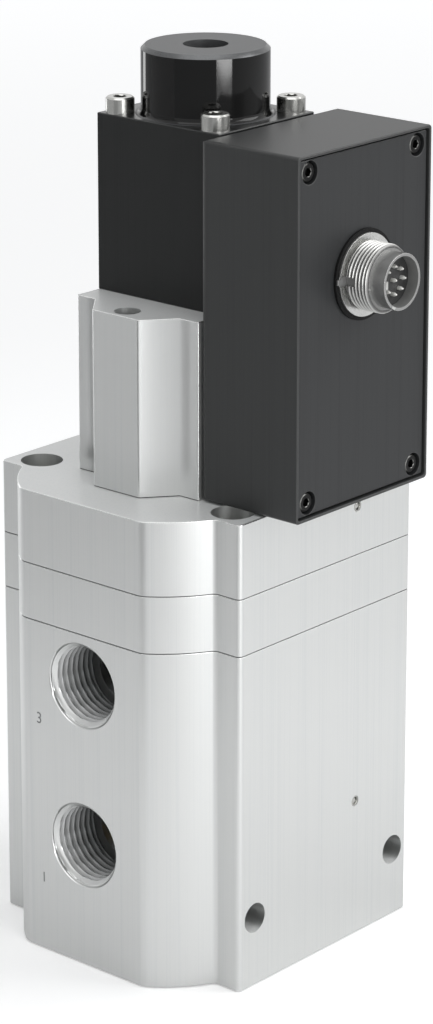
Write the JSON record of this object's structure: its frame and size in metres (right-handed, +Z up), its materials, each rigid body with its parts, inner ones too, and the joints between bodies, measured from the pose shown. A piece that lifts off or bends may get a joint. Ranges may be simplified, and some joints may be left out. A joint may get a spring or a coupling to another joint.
{
  "type": "electro pneumatic pressure regulator",
  "caption": "Upright aluminium pressure regulator with threaded side ports, stacked plates, a black solenoid pilot on a neck block and a black electronics box with a round pin connector.",
  "frame": {"origin": "where the valve axis meets the flat base", "axes": "+Z up along the valve axis, -Y out of the front with the connector, -X out of the side with two ports"},
  "size_m": [0.091, 0.0997, 0.2235],
  "materials": {
    "brushed_aluminium": "brushed, clear anodised",
    "black_anodised": "black anodised",
    "bright_steel": "zinc plated, bright",
    "black_steel": "black oxide",
    "nickel": "nickel plated",
    "brass": "turned",
    "copper": "enamelled wire",
    "rubber": "moulded",
    "black_plastic": "moulded",
    "circuit_board": "solder mask",
    "sensor_plastic": "moulded"
  },
  "bodies": {
    "regulator": {"valve_body": "brushed_aluminium", "bottom_plug": "brushed_aluminium", "plug_seal": "rubber", "poppet_spring": "bright_steel", "stem_bush": "brass", "stem_seal": "rubber", "inner_body_seal": "rubber", "outer_body_seal": "rubber", "middle_plate": "brushed_aluminium", "cylinder_seal": "rubber", "top_plate": "brushed_aluminium", "tie_screws": "bright_steel", "expander_plugs": "bright_steel", "neck_block": "brushed_aluminium", "neck_screws": "bright_steel", "pilot_nozzle": "brass", "guide_tube": "bright_steel", "tube_seal": "rubber", "armature_spring": "bright_steel", "pole_piece": "bright_steel", "coil_bobbin": "black_plastic", "coil_winding": "copper", "pilot_block": "black_anodised", "pilot_cap": "black_anodised", "pilot_screws": "bright_steel", "electronics_housing": "black_anodised", "housing_screws": "bright_steel", "circuit_board": "circuit_board", "board_screws": "bright_steel", "pressure_sensor": "sensor_plastic", "sensor_seal": "rubber", "cover_gasket": "rubber", "cover_plate": "black_anodised", "cover_screws": "black_steel", "connector_gasket": "rubber", "connector_shell": "nickel", "connector_nut": "nickel", "connector_insert": "black_plastic", "connector_pins": "nickel"},
    "poppet_unit": {"main_poppet": "brass", "poppet_seal": "rubber"},
    "piston_unit": {"valve_stem": "bright_steel", "piston": "brushed_aluminium", "piston_seal": "rubber", "piston_nut": "bright_steel"},
    "armature_unit": {"armature": "bright_steel", "armature_seal": "rubber"}
  },
  "joints": [
    {"name": "poppet_slide", "type": "slide", "parent": "regulator", "child": "poppet_unit", "axis": [0, 0, -1], "range_m": [0, 0.0025], "stiffness_N_per_m": 2000, "springref_m": -0.005, "deforming": ["poppet_spring"]},
    {"name": "piston_lift", "type": "slide", "parent": "poppet_unit", "child": "piston_unit", "axis": [0, 0, 1], "range_m": [0, 0.0015]},
    {"name": "armature_lift", "type": "slide", "parent": "regulator", "child": "armature_unit", "axis": [0, 0, 1], "range_m": [0, 0.0008], "stiffness_N_per_m": 800, "springref_m": -0.004, "deforming": ["armature_spring"]}
  ]
}
